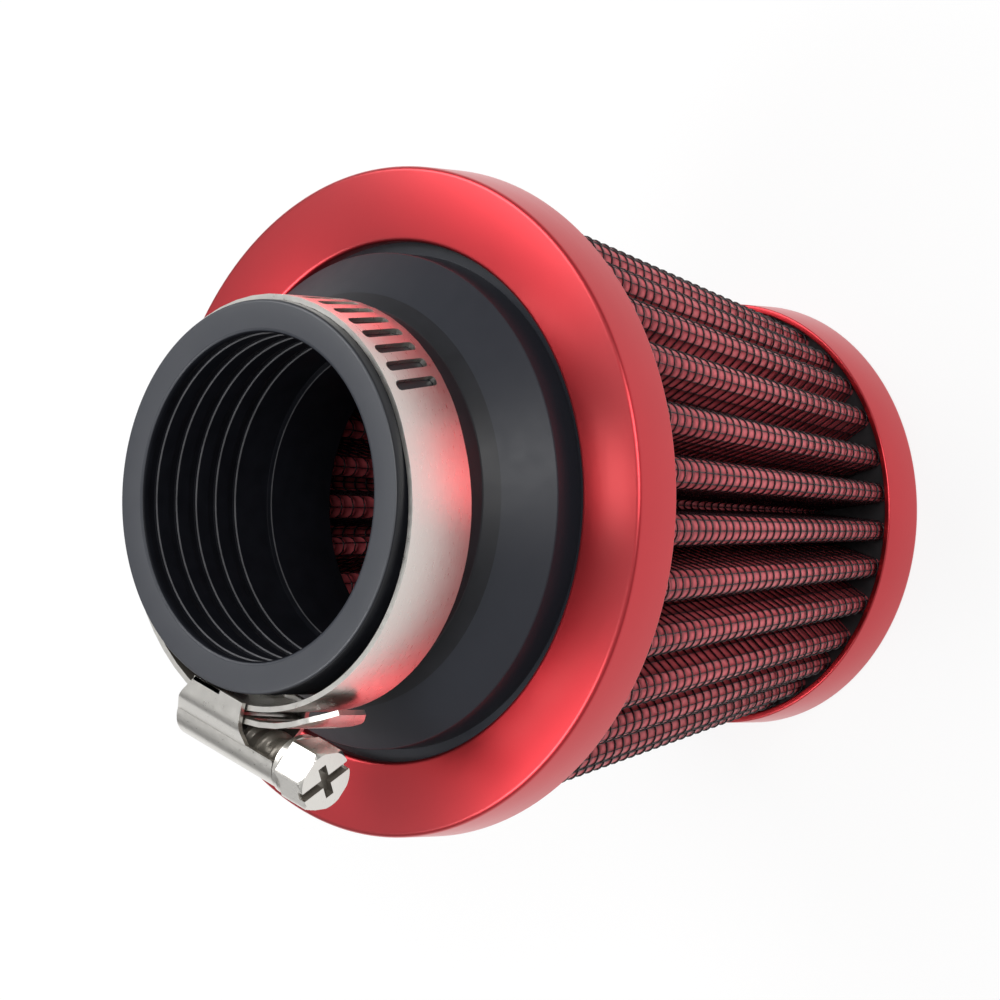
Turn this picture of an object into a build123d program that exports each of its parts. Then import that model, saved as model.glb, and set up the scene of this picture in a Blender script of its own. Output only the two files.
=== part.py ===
from build123d import *
import os
from math import cos, pi, radians, sin, sqrt, tan

# Cone air filter with a clamp-on rubber neck, standing on its rear cap with its axis along +Z, in mm
os.makedirs("parts", exist_ok=True)

# Overall heights, measured up from the back of the rear cap
length = 83.6
ring_face_z = 63.0
ring_depth = 6.0
cap_depth = 5.5

# Rubber neck and boot
neck_bore_r = 17.8
neck_outer_r = 21.4
neck_lip_chamfer = 0.45
flare_top_z = 70.4
shoulder_r = 27.5
shoulder_edge_z = 65.1
inner_throat_r = 17.1
throat_step_z = 64.5
throat_end_z = 55.0
spigot_r = 23.2

# Front ring and rear cap, turned from sheet
ring_outer_r = 37.3
ring_hole_r = 28.9
ring_wall = 1.1
ring_face_wall = 1.6
cap_outer_r = 25.0
cap_wall = 0.8
cap_floor = 1.2
edge_chamfer = 0.5

# Pleated pack, three layers folded together
pleat_count = 32
pleat_phase_deg = 266.4
pleat_depth = 9.5
pack_front_z = 59.0
pack_rear_z = 4.3
pack_clearance = 0.3
front_fill = 0.77
rear_fill = 0.85
screen_wall = 0.2
media_wall = 0.44
layer_gap = 0.03

# Worm-drive clamp
clamp_turn_deg = 19.0
band_wall = 0.6
band_width = 9.0
band_front_z = 82.2
band_clearance = 0.05
loop_slack = 1.3
slack_turn_deg = 38.0
fixed_end_deg = -8.0
tail_gap = 0.1
tail_curl_r = 20.0
tail_curl_deg = 44.0
tail_taper = 3.0
first_slot_deg = 141.0
slot_pitch = 2.5
slot_length = 6.6
slot_width = 1.25
slot_tilt_deg = 9.0
worm_core_r = 2.0
worm_room = 0.5
collar_r = 3.5
collar_wall = 0.9
collar_gap = 0.2
hex_flats = 6.6
hex_height = 4.2
head_roll_deg = 54.0
drive_slot = 1.1
drive_depth = 0.9
drive_cross = 4.1
housing_rear = -5.3
housing_front = 10.8
housing_wall = 0.6
housing_gap = 0.2
leg_start = -2.0
mouth_start = 5.9
tab_half = 2.2
tab_reach = 2.0

# Worked out from the above
flange_top_z = ring_face_z - ring_face_wall
flange_r = ring_outer_r - ring_wall - 0.05
pack_wall = 2 * screen_wall + media_wall + 2 * layer_gap
front_tip_r = ring_outer_r - ring_wall - pack_clearance
rear_tip_r = cap_outer_r - cap_wall - pack_clearance
half_pitch = pi / pleat_count
front_half_width = front_fill * (front_tip_r - pleat_depth) * tan(half_pitch)
rear_half_width = rear_fill * (rear_tip_r - pleat_depth) * tan(half_pitch)
plain_stretches = 3
octagon_cut = 2 - sqrt(2)
octagon_flat = sqrt(2) - 1
band_mid_z = band_front_z - band_width / 2
loop_mid_r = neck_outer_r + band_clearance + band_wall / 2
slack_out = loop_slack * cos(radians(slack_turn_deg))
slack_along = loop_slack * sin(radians(slack_turn_deg))
over_r = loop_mid_r + band_wall + tail_gap + slot_pitch**2 / (8 * loop_mid_r)
over_lean = sin(radians(fixed_end_deg - slack_turn_deg))
tail_lift = (over_r**2 - loop_mid_r**2) / (2 * (loop_mid_r + over_r * over_lean))
tail_mid_r = loop_mid_r + tail_lift
tail_out = slack_out - tail_lift * sin(radians(slack_turn_deg))
tail_along = slack_along + tail_lift * cos(radians(slack_turn_deg))
tail_top = tail_out + tail_mid_r
screw_axis_r = tail_top + band_wall / 2 + worm_core_r + worm_room
crown_r = worm_core_r + worm_room + housing_gap + housing_wall
out_dir = Vector(-cos(radians(clamp_turn_deg)), sin(radians(clamp_turn_deg)), 0)
head_dir = Vector(-sin(radians(clamp_turn_deg)), -cos(radians(clamp_turn_deg)), 0)
clamp_plane = Plane(origin=(0, 0, band_mid_z), x_dir=out_dir, z_dir=head_dir)


def turned(points):
    """A full turn about Z of a closed outline given as (radius, height)."""
    face = make_face(Polyline(*[(r, 0, z) for r, z in points], close=True))
    return revolve(face, Axis.Z, 360)


def rubber_boot():
    bore = [(neck_bore_r, length - neck_lip_chamfer), (neck_bore_r, throat_step_z)]
    throat = [(inner_throat_r, throat_step_z), (inner_throat_r, throat_end_z)]
    spigot = [(spigot_r, throat_end_z), (spigot_r, pack_front_z)]
    flange = [(flange_r, pack_front_z), (flange_r, flange_top_z), (shoulder_r, flange_top_z)]
    flare = [(shoulder_r, shoulder_edge_z), (neck_outer_r, flare_top_z)]
    rim = [
        (neck_outer_r, length - neck_lip_chamfer),
        (neck_outer_r - neck_lip_chamfer, length),
        (neck_bore_r + neck_lip_chamfer, length),
    ]
    return turned(bore + throat + spigot + flange + flare + rim)


def front_ring():
    rear_z = ring_face_z - ring_depth
    wall_r = ring_outer_r - ring_wall
    return turned(
        [
            (ring_hole_r, flange_top_z),
            (ring_hole_r, ring_face_z - edge_chamfer),
            (ring_hole_r + edge_chamfer, ring_face_z),
            (ring_outer_r - edge_chamfer, ring_face_z),
            (ring_outer_r, ring_face_z - edge_chamfer),
            (ring_outer_r, rear_z),
            (wall_r, rear_z),
            (wall_r, flange_top_z),
        ]
    )


def rear_cap():
    wall_r = cap_outer_r - cap_wall
    return turned(
        [
            (0, 0),
            (cap_outer_r - edge_chamfer, 0),
            (cap_outer_r, edge_chamfer),
            (cap_outer_r, cap_depth),
            (wall_r, cap_depth),
            (wall_r, cap_floor),
            (0, cap_floor),
        ]
    )


def rear_potting():
    fill_r = cap_outer_r - cap_wall
    return turned([(0, cap_floor), (fill_r, cap_floor), (fill_r, pack_rear_z), (0, pack_rear_z)])


def pleat_loop(tip_r, half_width, inset, z):
    """Corner points of one layer's face round the filter, inset from the pack's outside, pleat by pleat."""
    tip = tip_r - inset
    width = half_width - inset
    valley = tip_r - pleat_depth - inset
    root = (valley - width * sin(half_pitch)) / cos(half_pitch)
    side = [(tip, octagon_flat * width), (tip - octagon_cut * width, width), (root, width)]
    pleat = [(u, -v) for u, v in reversed(side)] + side
    points = []
    for i in range(pleat_count):
        a = radians(pleat_phase_deg) + 2 * half_pitch * i
        points += [Vector(u * cos(a) - v * sin(a), u * sin(a) + v * cos(a), z) for u, v in pleat]
    return points


def pleated_layer(inset, wall):
    """A pleated wall from the front ring down to the rear cap; every fold is a flat strip that narrows."""
    faces = []
    ends = {pack_front_z: [], pack_rear_z: []}
    for depth in (inset, inset + wall):
        front = pleat_loop(front_tip_r, front_half_width, depth, pack_front_z)
        rear = pleat_loop(rear_tip_r, rear_half_width, depth, pack_rear_z)
        ends[pack_front_z].append(Wire.make_polygon(front, close=True))
        ends[pack_rear_z].append(Wire.make_polygon(rear, close=True))
        for i in range(len(front)):
            strip = [front[i - 1], front[i], rear[i], rear[i - 1]]
            faces.append(Face(Wire.make_polygon(strip, close=True)))
    for outside, inside in ends.values():
        faces.append(Face(outside, [inside]))
    return Solid(Shell(faces))


def band_stretches():
    """The band's middle line from its fixed end to the tail's tip.

    A stretch is (kind, centre or start, radius or length, from, to). Its places are (out, along the screw)
    and its turns are counted from the outward direction towards the screw's head.
    """
    leave, meet = 90 + slack_turn_deg, 270 + slack_turn_deg
    across = (loop_mid_r * cos(radians(leave)), loop_mid_r * sin(radians(leave)))
    return [
        ("arc", (slack_out, slack_along), loop_mid_r, fixed_end_deg, leave),
        ("line", (slack_out + across[0], slack_along + across[1]), loop_slack, leave, leave),
        ("arc", (0, 0), loop_mid_r, leave, first_slot_deg),
        ("arc", (0, 0), loop_mid_r, first_slot_deg, meet),
        ("line", (-across[0], -across[1]), loop_slack, meet, meet),
        ("arc", (tail_out, tail_along), tail_mid_r, meet - 360, 0),
        ("arc", (tail_top - tail_curl_r, tail_along), tail_curl_r, 0, tail_curl_deg),
    ]


def band_spot(stretch, share, rise):
    """A point of a stretch, a share of the way along it and a rise outwards from its middle line."""
    kind, (out, along), radius, start, end = stretch
    a = radians(start + share * (end - start))
    if kind == "line":
        run = share * radius
        return (out - run * sin(a) + rise * cos(a), along + run * cos(a) + rise * sin(a))
    return (out + (radius + rise) * cos(a), along + (radius + rise) * sin(a))


def stretch_length(stretch):
    kind, place, radius, start, end = stretch
    return radius if kind == "line" else radius * radians(end - start)


def flat_point(spot):
    """A place (out, along the screw) as a point at the band's rear edge."""
    return out_dir * spot[0] + head_dir * spot[1] + Vector(0, 0, band_front_z - band_width)


def band_at(run, rise):
    """The point a length along the band and a rise outwards from its middle line."""
    for stretch in band_stretches():
        share = run / stretch_length(stretch)
        if share <= 1:
            break
        run -= stretch_length(stretch)
    return flat_point(band_spot(stretch, min(share, 1), rise))


def band_side(rise, corner_runs):
    """Edges of one side of the band: round where it is plain, then flat from slot to slot."""
    edges = []
    for stretch in band_stretches()[:plain_stretches]:
        start, middle, end = [flat_point(band_spot(stretch, share, rise)) for share in (0, 0.5, 1)]
        edges.append(Line(start, end) if stretch[0] == "line" else ThreePointArc(start, middle, end))
    return edges + [Polyline(*[band_at(run, rise) for run in corner_runs])]


def band_seat(start, end):
    """Plane in the middle of a flat of the band: X outwards, Y along the band, Z across it."""
    first, last = band_at(start, 0), band_at(end, 0)
    middle = (first + last) / 2
    outward = (last - first).cross(Vector(0, 0, 1)).normalized()
    return Plane(origin=(middle.X, middle.Y, band_mid_z), x_dir=outward, z_dir=(0, 0, 1))


def clamp_band():
    """Strip rolled into a loop with its tail lying over its fixed end, slotted for the worm."""
    lengths = [stretch_length(stretch) for stretch in band_stretches()]
    plain_length, band_length = sum(lengths[:plain_stretches]), sum(lengths)
    slot_count = int((band_length - plain_length - tail_taper) / slot_pitch)
    corner_runs = [plain_length + i * slot_pitch for i in range(slot_count + 1)] + [band_length]
    inner, outer = [band_side(rise, corner_runs) for rise in (-band_wall / 2, band_wall / 2)]
    ends = [Line(inner[0] @ 0, outer[0] @ 0), Line(inner[-1] @ 1, outer[-1] @ 1)]
    band = extrude(make_face(inner + outer + ends), band_width, dir=(0, 0, 1))
    slot = Rot(slot_tilt_deg, 0, 0) * Box(band_wall + tail_gap / 2, slot_width, slot_length)
    cuts = [band_seat(run, run + slot_pitch) * slot for run in corner_runs[:slot_count]]
    tip_start = corner_runs[slot_count]
    tip_seat = band_seat(tip_start, band_length) * Pos(0, (band_length - tip_start) / 2, 0)
    return band - cuts - [tip_seat * corner for corner in tail_tip_corners()]


def tail_tip_corners():
    """The wedges that taper the tail's free end, seen from the middle of its end."""
    half = band_width / 2
    wedges = []
    for side in (1, -1):
        edge = side * half * 1.1
        outline = Polyline((half / 4, edge), (half / 4, side * half / 4), (-tail_taper, edge), close=True)
        wedges.append(extrude(Plane.YZ * make_face(outline), 3 * band_wall, both=True))
    return wedges


def arch(inset, foot):
    """Closed arch outline over the worm, in the clamp plane, set in by a sheet's thickness."""
    crown = crown_r - inset
    foot_half = band_width / 2 + housing_gap + housing_wall - inset
    knee = tail_top + band_wall / 2 + housing_gap
    edges = [
        Polyline((screw_axis_r, crown), (knee, foot_half), (foot, foot_half), (foot, -foot_half)),
        Polyline((foot, -foot_half), (knee, -foot_half), (screw_axis_r, -crown)),
        ThreePointArc((screw_axis_r, -crown), (screw_axis_r + crown, 0), (screw_axis_r, crown)),
    ]
    return make_face(edges)


def clamp_housing():
    """Arched saddle over the worm, cut back at both ends, with two tabs folded under the band."""
    band_inside = slack_out + sqrt((loop_mid_r - band_wall / 2) ** 2 - (tab_half + slack_along) ** 2)
    foot = band_inside - housing_wall
    shell = extrude(arch(0, foot) - arch(housing_wall, foot - housing_wall), housing_front - housing_rear)
    body = Pos(0, 0, housing_rear) * shell
    below, step, past = foot - band_wall, screw_axis_r - worm_room / 2, housing_front + band_width
    mouth = [(below, mouth_start), (step, mouth_start + worm_room), (step, past), (below, past)]
    rear = [(below, leg_start), (screw_axis_r, housing_rear), (below, housing_rear)]
    for cut in (mouth, rear):
        body -= extrude(Plane.XZ * make_face(Polyline(*cut, close=True)), band_width, both=True)
    outer_half = band_width / 2 + housing_gap + housing_wall
    tab_wall = housing_wall - tail_gap
    for side in (1, -1):
        tab = Pos(foot + tab_wall / 2, side * (outer_half - tab_reach / 2), 0)
        body += tab * Box(tab_wall, tab_reach, 2 * tab_half)
    return clamp_plane * body


def clamp_screw():
    """Worm core, collar and hex head with a shallow cross recess, along the head direction."""
    collar_start = housing_front + collar_gap
    hex_start = collar_start + collar_wall
    hex_end = hex_start + hex_height
    core_start = housing_rear + housing_wall
    core = Pos(0, 0, core_start) * extrude(Circle(worm_core_r), collar_start - core_start)
    collar = Pos(0, 0, collar_start) * extrude(Circle(collar_r), collar_wall)
    hexagon = RegularPolygon(hex_flats / 2, 6, major_radius=False)
    head = Pos(0, 0, hex_start) * extrude(hexagon, hex_height)
    tip_r = hex_flats / 2 + edge_chamfer / 5
    head &= Pos(0, 0, hex_start) * extrude(Circle(tip_r + hex_height), hex_height, taper=45)
    recess = Pos(0, 0, hex_end - drive_depth / 2)
    head -= recess * Box(1.5 * hex_flats, drive_slot, drive_depth)
    head -= recess * Box(drive_slot, drive_cross, drive_depth)
    return clamp_plane * Pos(screw_axis_r, 0, 0) * (core + collar + Rot(0, 0, -head_roll_deg) * head)


pieces = {
    "rubber_boot": rubber_boot(),
    "front_ring": front_ring(),
    "rear_cap": rear_cap(),
    "rear_potting": rear_potting(),
    "outer_screen": pleated_layer(0, screen_wall),
    "cotton_media": pleated_layer(screen_wall + layer_gap, media_wall),
    "inner_screen": pleated_layer(pack_wall - screen_wall, screen_wall),
    "clamp_band": clamp_band(),
    "clamp_housing": clamp_housing(),
    "clamp_screw": clamp_screw(),
}

for name, solid in pieces.items():
    export_step(solid, f"parts/{name}.step")
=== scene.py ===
from math import cos, pi, radians, sin, tan

import bmesh
import bpy
import numpy as np
from mathutils import Euler, Matrix, Vector


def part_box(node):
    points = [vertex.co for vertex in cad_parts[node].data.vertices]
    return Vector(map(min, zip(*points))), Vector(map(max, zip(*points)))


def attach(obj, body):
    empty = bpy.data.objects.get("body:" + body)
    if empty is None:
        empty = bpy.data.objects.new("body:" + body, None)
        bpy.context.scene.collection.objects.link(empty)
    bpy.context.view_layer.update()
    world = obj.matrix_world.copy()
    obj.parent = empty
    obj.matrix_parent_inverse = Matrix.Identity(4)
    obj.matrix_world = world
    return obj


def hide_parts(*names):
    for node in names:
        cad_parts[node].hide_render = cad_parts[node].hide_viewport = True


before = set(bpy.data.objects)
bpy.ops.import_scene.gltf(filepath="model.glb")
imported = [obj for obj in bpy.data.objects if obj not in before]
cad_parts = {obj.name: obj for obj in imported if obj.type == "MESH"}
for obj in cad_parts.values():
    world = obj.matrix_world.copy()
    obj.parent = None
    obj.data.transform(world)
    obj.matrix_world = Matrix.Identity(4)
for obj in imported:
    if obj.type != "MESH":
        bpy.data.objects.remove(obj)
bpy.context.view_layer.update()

bl_info = {
    "name": "Cone air filter",
    "version": (1, 0, 0),
    "blender": (4, 5, 0),
    "location": "View3D > Sidebar > Filter",
    "description": "Builds the looks of a clamp-on cone air filter on its CAD frame",
    "category": "Object",
}

MM = 0.001
ON_AXIS = 0.01 * MM
BODY = "filter"
SCREW_BODY = "screw"


def length(name, description, mm):
    """A size property given in millimetres and kept in metres."""
    return bpy.props.FloatProperty(
        name=name,
        description=description,
        default=mm * MM,
        unit="LENGTH",
        subtype="DISTANCE",
        precision=5,
    )


def angle(name, description, degrees):
    """An angle property given in degrees."""
    return bpy.props.FloatProperty(
        name=name, description=description, default=radians(degrees), unit="ROTATION", subtype="ANGLE"
    )


def colour(name, description, rgb):
    """A linear colour property."""
    return bpy.props.FloatVectorProperty(
        name=name, description=description, default=rgb, size=3, min=0, max=1, subtype="COLOR"
    )


def amount(name, description, value):
    """A plain number without a unit."""
    return bpy.props.FloatProperty(
        name=name, description=description, default=value, unit="NONE", subtype="NONE"
    )


def count(name, description, value):
    """A whole number of repeated features."""
    return bpy.props.IntProperty(name=name, description=description, default=value, min=1)


class FilterSizes(bpy.types.PropertyGroup):
    """Driving sizes of the turned and moulded pieces and the pleats"""

    bore: length("Bore", "Radius of the neck's bore", 17.8)
    neck: length("Neck", "Outside radius of the neck", 21.4)
    shoulder: length("Shoulder", "Radius of the raised shoulder", 27.5)
    shoulder_edge: length("Shoulder edge", "Height of the shoulder's front edge", 65.1)
    flare_top: length("Flare top", "Height where the flare leaves the neck", 70.4)
    throat: length("Throat", "Radius of the throat behind the step", 17.1)
    throat_step: length("Throat step", "Height of the step in the bore", 64.5)
    spigot: length("Spigot", "Outside radius of the throat inside the cone", 23.2)
    seal_first: length("First sealing edge", "Height of the sealing edge nearest the mouth", 81.5)
    seal_pitch: length("Sealing pitch", "Spacing of the sealing edges", 3.0)
    seal_depth: length("Sealing depth", "Depth of the groove before each edge", 0.4)
    seal_run: length("Sealing run", "Length of the groove before each edge", 1.2)
    seal_count: count("Sealing edges", "Edges in the bore", 5)
    ring_hole: length("Ring hole", "Radius of the front ring's hole", 28.9)
    ring_face: length("Ring sheet", "Thickness of the ring's face", 1.6)
    ring_wall: length("Ring wall", "Thickness of the ring's outer wall", 1.1)
    cap_wall: length("Cap wall", "Thickness of the cap's wall", 0.8)
    cap_floor: length("Cap floor", "Thickness of the cap's floor", 1.2)
    edge_round: length("Edge round", "Radius of the turned edges", 0.55)
    pleats: count("Pleats", "Folds round the cone", 32)
    pleat_phase: angle("Pleat phase", "Direction of the first fold's crest", 266.4)
    pleat_depth: length("Pleat depth", "Depth of a fold", 9.5)
    pack_gap: length("Pack gap", "Gap between the crests and the walls round them", 0.3)
    front_half: length("Front half width", "Half width of a fold at the ring", 2.002)
    rear_half: length("Rear half width", "Half width of a fold at the cap", 1.2055)
    pack_wall: length("Pack wall", "Thickness of screens and cotton together", 0.9)
    pleat_jitter: angle("Pleat jitter", "How far folds stray from even spacing", 0.8)
    wire: length("Wire", "Radius of the wires round the folds", 0.11)
    wire_along: length("Wire along", "Radius of the wires along the folds", 0.0715)
    wire_pitch: length("Wire pitch", "Spacing of the wires round the cone", 1.52)
    wires_crest: count("Crest wires", "Wires on half a crest", 2)
    wires_flank: count("Flank wires", "Wires on a flank", 4)
    wires_valley: count("Valley wires", "Wires in half a valley", 1)


class ClampSizes(bpy.types.PropertyGroup):
    """Driving sizes of the worm-drive clamp"""

    turn: angle("Turn", "Place of the screw round the neck", 19)
    wall: length("Band wall", "Thickness of the band", 0.6)
    loop: length("Loop", "Inside radius of the loop", 21.45)
    slack: length("Slack", "How far the loop stands off the neck", 1.3)
    slack_turn: angle("Slack turn", "Direction of the slack from the screw towards its head", 38)
    tail_gap: length("Tail gap", "Gap between the tail and the fixed end", 0.1)
    fixed_end: angle("Fixed end", "Turn at which the band starts under the housing", -8)
    curl: length("Tail curl", "Radius of the tail past the screw", 20)
    curl_turn: angle("Tail turn", "How far the tail curls past the screw", 44)
    tail_taper: length("Tail taper", "Length of the tail's tapered tip", 3.0)
    first_slot: angle("First slot", "Turn at which the slots begin", 141)
    slot_pitch: length("Slot pitch", "Spacing of the slots", 2.5)
    slot_length: length("Slot length", "Length of a slot across the band", 6.6)
    slot_width: length("Slot width", "Width of a slot", 1.25)
    slot_tilt: angle("Slot tilt", "Slant of the slots", 9)
    worm: length("Worm", "Outside radius of the worm's thread", 2.4)
    worm_core: length("Worm core", "Core radius of the worm", 1.85)
    worm_seat: length("Worm seat", "Distance from the tail to the screw's axis", 2.5)
    worm_room: length("Worm room", "Room between the worm's core and the tail", 0.5)
    collar: length("Collar", "Radius of the screw's collar", 3.5)
    collar_wall: length("Collar wall", "Thickness of the collar", 0.9)
    collar_gap: length("Collar gap", "Gap between housing and collar", 0.2)
    hex_flats: length("Hex", "Width of the hex across its flats", 6.6)
    hex_height: length("Hex height", "Height of the hex", 4.2)
    head_roll: angle("Head roll", "Turn of the head about the screw", 54)
    drive_slot: length("Drive slot", "Width of the cross recess", 1.1)
    drive_depth: length("Drive depth", "Depth of the cross recess", 0.9)
    drive_cross: length("Drive cross", "Length of the recess's short arm", 4.1)
    housing_rear: length("Housing rear", "Rear end of the housing along the screw", -5.3)
    housing_front: length("Housing front", "Front end of the housing along the screw", 10.8)
    housing_wall: length("Housing wall", "Sheet of the housing", 0.6)
    housing_gap: length("Housing gap", "Room between the housing and what it covers", 0.2)
    leg_start: length("Leg start", "Rear end of the housing's legs along the screw", -2.0)
    mouth: length("Mouth", "Where the cut-back side walls start", 5.9)
    crown: length("Crown", "Radius of the housing's arch", 3.3)
    tab_half: length("Tab", "Half length of the tabs under the band", 2.2)
    tab_reach: length("Tab reach", "How far the tabs reach under the band", 2.0)


class FilterColours(bpy.types.PropertyGroup):
    """Linear colours of the materials"""

    anodised: colour("Anodised", "Red anodised aluminium", (0.56, 0.026, 0.036))
    rubber: colour("Rubber", "Moulded rubber", (0.0085, 0.0092, 0.0125))
    # Painted sheen: a lighter rubber colour laid on the rim's face and on the flare in place of their
    # sheen under the lamps.
    painted_sheen: colour("Rubber with painted sheen", "Lighter rubber on the rim and the flare, a painted sheen", (0.023, 0.026, 0.035))
    # Painted highlight: a light grey laid on the bore's sealing edges and on the throat's step, where
    # their rounded edges would catch the light.
    edge_highlight: colour("Rubber edge highlight", "Painted highlight on the bore's sealing edges and step", (0.17, 0.17, 0.18))
    cotton: colour("Cotton", "Oiled cotton gauze", (0.70, 0.13, 0.15))
    # Painted shade: a dark red laid on the cotton beside the wires.
    cotton_painted_shade: colour("Cotton shade", "Cotton beside the wires", (0.20, 0.016, 0.026))
    wire: colour("Wire", "Coated wire", (0.022, 0.014, 0.017))
    potting: colour("Potting", "Sealing compound", (0.032, 0.031, 0.033))
    steel: colour("Steel", "Stainless strip", (0.74, 0.72, 0.68))
    # Painted shade: a dark steel colour laid on faces that look towards the neck, on the worm's thread and
    # in the screw's recess.
    painted_shade: colour("Steel with painted shade", "Painted shade on steel by the neck, thread and recess", (0.19, 0.172, 0.145))
    floor: colour("Floor", "Studio floor", (0.92, 0.92, 0.92))


class StageSettings(bpy.types.PropertyGroup):
    """Camera and lamps"""

    lens: bpy.props.FloatProperty(name="Lens", description="Focal length", default=180, unit="CAMERA")
    elevation: angle("Elevation", "Height of the camera over the floor", 46.78)
    roll: angle("Roll", "Turn of the camera about its view", -87.92)
    camera_x: length("Camera X", "Place of the camera along X", 0.6)
    camera_y: length("Camera Y", "Place of the camera along Y", -389.3)
    camera_z: length("Camera Z", "Place of the camera along Z", 459.2)
    key: amount("Key lamp", "Power of the key lamp in watts", 3.2)
    side: amount("Side lamp", "Power of the side lamp in watts", 2.2)
    fill: amount("Fill lamp", "Power of the fill lamp in watts", 1.7)
    world: amount("World", "Strength of the surroundings overhead", 0.6)
    world_low: amount("World low", "Strength of the surroundings at the horizon", 0.2)
    backdrop: amount("Backdrop", "Share of plain white in what the camera sees of the floor", 0.85)


def mesh_object(name, points, quads, uv=None):
    """A mesh of quads with smooth faces, its vertices in the shared frame."""
    points = np.asarray(points, np.float32)
    quads = np.asarray(quads, np.int32)
    mesh = bpy.data.meshes.new(name)
    mesh.vertices.add(len(points))
    mesh.vertices.foreach_set("co", points.ravel())
    mesh.loops.add(quads.size)
    mesh.loops.foreach_set("vertex_index", quads.ravel())
    mesh.polygons.add(len(quads))
    mesh.polygons.foreach_set("loop_start", np.arange(0, quads.size, 4, dtype=np.int32))
    if uv is not None:
        layer = mesh.uv_layers.new(name="weave")
        layer.data.foreach_set("uv", np.asarray(uv, np.float32)[quads.ravel()].ravel())
    mesh.update(calc_edges=True)
    mesh.validate()
    mesh.shade_smooth()
    made = bpy.data.objects.new(name, mesh)
    bpy.context.scene.collection.objects.link(made)
    return made


def finish_piece(piece, material, nodes, body=BODY, sharp=35):
    """Gives a piece its material, its sharp edges and its place in the frame."""
    piece.data.set_sharp_from_angle(angle=radians(sharp))
    piece.data.materials.clear()
    piece.data.materials.append(material)
    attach(piece, body)
    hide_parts(*nodes)
    return piece


def grid_quads(rows, columns, wrap_rows=False, wrap_columns=False):
    """Quads of a grid of points stored row by row."""
    row = np.arange(rows if wrap_rows else rows - 1)
    column = np.arange(columns if wrap_columns else columns - 1)
    r, c = np.meshgrid(row, column, indexing="ij")
    r_next, c_next = (r + 1) % rows, (c + 1) % columns
    corners = [r * columns + c, r_next * columns + c, r_next * columns + c_next, r * columns + c_next]
    return np.stack([k.ravel() for k in corners], axis=1)


def rounded(outline, steps=5):
    """Points of a closed outline whose corners (x, y, radius) are rounded."""
    points = []
    for i, (x, y, radius) in enumerate(outline):
        here = Vector((x, y))
        if radius <= 0:
            points.append(here)
            continue
        before = (Vector(outline[i - 1][:2]) - here).normalized()
        after = (Vector(outline[(i + 1) % len(outline)][:2]) - here).normalized()
        half = before.angle(after) / 2
        start, end = here + before * (radius / tan(half)), here + after * (radius / tan(half))
        centre = here + (before + after).normalized() * (radius / sin(half))
        first, last = start - centre, end - centre
        sweep = first.angle_signed(last)
        for k in range(steps + 1):
            points.append(centre + Matrix.Rotation(-sweep * k / steps, 2) @ first)
    return points


def lathe(name, outline, turns=192):
    """A closed outline of (radius, height, corner radius) turned about Z."""
    section = np.array([tuple(p) for p in rounded(outline)])
    a = np.linspace(0, 2 * pi, turns, endpoint=False)
    ring = np.stack([np.cos(a), np.sin(a)], axis=1)
    points = np.empty((turns, len(section), 3))
    points[:, :, :2] = ring[:, None, :] * section[None, :, :1]
    points[:, :, 2] = section[None, :, 1]
    quads = grid_quads(turns, len(section), True, True)
    return mesh_object(name, points.reshape(-1, 3), quads[:, ::-1])


def node_material(name):
    """A new material, its Principled shader and its node tree."""
    material = bpy.data.materials.new(name)
    material.use_nodes = True
    tree = material.node_tree
    return material, tree.nodes["Principled BSDF"], tree


def add(tree, kind, inputs=None, **settings):
    """A shader node with settings and inputs; an input may be a value or another socket."""
    node = tree.nodes.new(kind)
    for key, value in settings.items():
        setattr(node, key, value)
    for key, value in (inputs or {}).items():
        if isinstance(value, bpy.types.NodeSocket):
            tree.links.new(value, node.inputs[key])
        else:
            node.inputs[key].default_value = value
    return node


def math_node(tree, operation, *values):
    """The result socket of a maths node."""
    node = tree.nodes.new("ShaderNodeMath")
    node.operation = operation
    for i, value in enumerate(values):
        if isinstance(value, bpy.types.NodeSocket):
            tree.links.new(value, node.inputs[i])
        else:
            node.inputs[i].default_value = value
    return node.outputs[0]


def vector_node(tree, operation, *values):
    """A vector maths node."""
    return add(tree, "ShaderNodeVectorMath", dict(enumerate(values)), operation=operation)


def mixed(tree, share, first, second):
    """The colour at that share of the way from one colour to another."""
    node = add(tree, "ShaderNodeMix", {"Factor": share, 6: first, 7: second}, data_type="RGBA")
    return node.outputs[2]


def object_place(tree):
    """The place of a point on its piece, in the shared frame at rest."""
    return tree.nodes.new("ShaderNodeTexCoord").outputs["Object"]


def about_axis(tree):
    """A point's distance from the Z axis and its height."""
    split = add(tree, "ShaderNodeSeparateXYZ", {0: object_place(tree)})
    x, y, height = split.outputs
    square = math_node(tree, "MULTIPLY_ADD", y, y, math_node(tree, "MULTIPLY", x, x))
    return math_node(tree, "SQRT", square), height


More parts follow.
